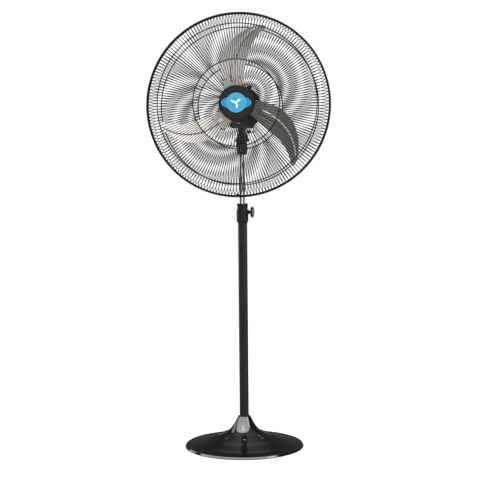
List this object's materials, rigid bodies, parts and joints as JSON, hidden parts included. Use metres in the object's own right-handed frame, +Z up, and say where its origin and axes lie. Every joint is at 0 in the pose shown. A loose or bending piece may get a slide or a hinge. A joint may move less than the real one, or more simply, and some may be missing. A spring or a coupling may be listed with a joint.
{
  "type": "pedestal fan",
  "caption": "Tall pedestal fan: round weighted base, telescopic column with clamp knob, tilting and oscillating motor head, sheet-metal blades between two wire guards.",
  "frame": {"origin": "on the floor under the column's axis, at the middle of the base's underside", "axes": "+Z up along the column; the fan faces -Y; the height knob is towards +X"},
  "size_m": [0.72, 0.479, 1.744],
  "materials": {
    "base_paint": "high-gloss black",
    "satin_paint": "satin black powder coat",
    "guard_coat": "black coated wire",
    "black_plastic": "moulded, fine texture",
    "rubber": "matt",
    "cast_iron": "rough casting, painted",
    "steel": "bright",
    "chrome": "plated tube",
    "blade_aluminium": "rolled and polished sheet",
    "cast_aluminium": "die cast",
    "brass": "yellow-plated or brass",
    "laminations": "laminated core with copper windings",
    "badge_blue": "printed and lacquered"
  },
  "bodies": {
    "stand": {"base_cover": "base_paint", "base_weight": "cast_iron", "base_rubber_ring": "rubber", "centre_cap": "rubber", "column_socket": "cast_iron", "column_bolt": "steel", "column_washer": "steel", "column_plug": "steel", "column_tube": "satin_paint", "column_bush": "black_plastic", "height_collar": "black_plastic"},
    "height_knob": {"height_knob": "black_plastic", "height_screw": "steel"},
    "mast": {"inner_tube": "chrome", "inner_tube_guide": "black_plastic", "neck_fork": "black_plastic", "neck_set_screw": "steel", "tilt_bolt": "brass"},
    "tilt_nut": {"tilt_nut": "brass"},
    "neck": {"tilt_arm": "satin_paint", "swivel_post": "steel"},
    "link": {"oscillation_link": "steel"},
    "head": {"motor_housing": "satin_paint", "motor_rear_cover": "satin_paint", "motor_bracket": "satin_paint", "swivel_bush": "brass", "stator": "laminations", "front_bearing": "steel", "rear_bearing": "steel", "gearbox_case": "cast_aluminium", "capacitor": "cast_aluminium", "speed_switch": "black_plastic", "cable_gland": "black_plastic", "rear_guard": "guard_coat", "guard_ring_nut": "black_plastic", "front_guard": "guard_coat", "rim_band": "guard_coat", "band_screw": "steel", "front_cap": "black_plastic", "cap_back_plate": "satin_paint", "badge": "badge_blue"},
    "impeller": {"fan_hub": "satin_paint", "motor_shaft": "steel", "spinner_nut": "steel", "rotor_core": "steel", "worm": "steel", "blade_1": "blade_aluminium", "blade_2": "blade_aluminium", "blade_3": "blade_aluminium", "rivet_1": "cast_aluminium", "rivet_2": "cast_aluminium", "rivet_3": "cast_aluminium", "rivet_4": "cast_aluminium", "rivet_5": "cast_aluminium", "rivet_6": "cast_aluminium"},
    "crank": {"worm_wheel": "brass", "crank_disc": "steel"},
    "oscillation_knob": {"oscillation_knob": "black_plastic"},
    "speed_knob": {"speed_knob": "black_plastic"}
  },
  "joints": [
    {"name": "height_slide", "type": "slide", "parent": "stand", "child": "mast", "axis": [0, 0, 1], "range_m": [-0.15, 0.11]},
    {"name": "height_clamp", "type": "hinge", "parent": "stand", "child": "height_knob", "pos_m": [0, 0, 0.9537], "axis": [0.9914, -0.1305, 0], "range_deg": [0, 540]},
    {"name": "head_tilt", "type": "hinge", "parent": "mast", "child": "neck", "pos_m": [0, 0, 1.242], "axis": [-1, 0, 0], "range_deg": [-17, 23]},
    {"name": "tilt_lock", "type": "hinge", "parent": "mast", "child": "tilt_nut", "pos_m": [0, 0, 1.242], "axis": [1, 0, 0], "range_deg": [0, 360]},
    {"name": "oscillation", "type": "hinge", "parent": "neck", "child": "head", "pos_m": [0, 0, 1.242], "axis": [0, 0.1219, 0.9925], "range_deg": [-40, 40]},
    {"name": "link_swing", "type": "hinge", "parent": "neck", "child": "link", "pos_m": [0.013, 0.02104, 1.26561], "axis": [0, 0.1219, 0.9925], "range_deg": [-40, 40]},
    {"name": "fan_spin", "type": "hinge", "parent": "head", "child": "impeller", "pos_m": [0, -0.12856, 1.38473], "axis": [0, -0.9925, 0.1219], "continuous": true},
    {"name": "crank_spin", "type": "hinge", "parent": "head", "child": "crank", "pos_m": [0.025, 0.06493, 1.2703], "axis": [0, 0.1219, 0.9925], "continuous": true},
    {"name": "oscillation_pull", "type": "slide", "parent": "head", "child": "oscillation_knob", "axis": [0, 0.1219, 0.9925], "range_m": [0, 0.008]},
    {"name": "speed_turn", "type": "hinge", "parent": "head", "child": "speed_knob", "pos_m": [0, 0.10502, 1.31777], "axis": [0, 0.9925, -0.1219], "range_deg": [0, 135]}
  ],
  "couplings": [
    {"joint": "link_swing", "follows": "oscillation", "ratio": 1},
    {"joint": "crank_spin", "follows": "fan_spin", "ratio": -0.016667}
  ]
}
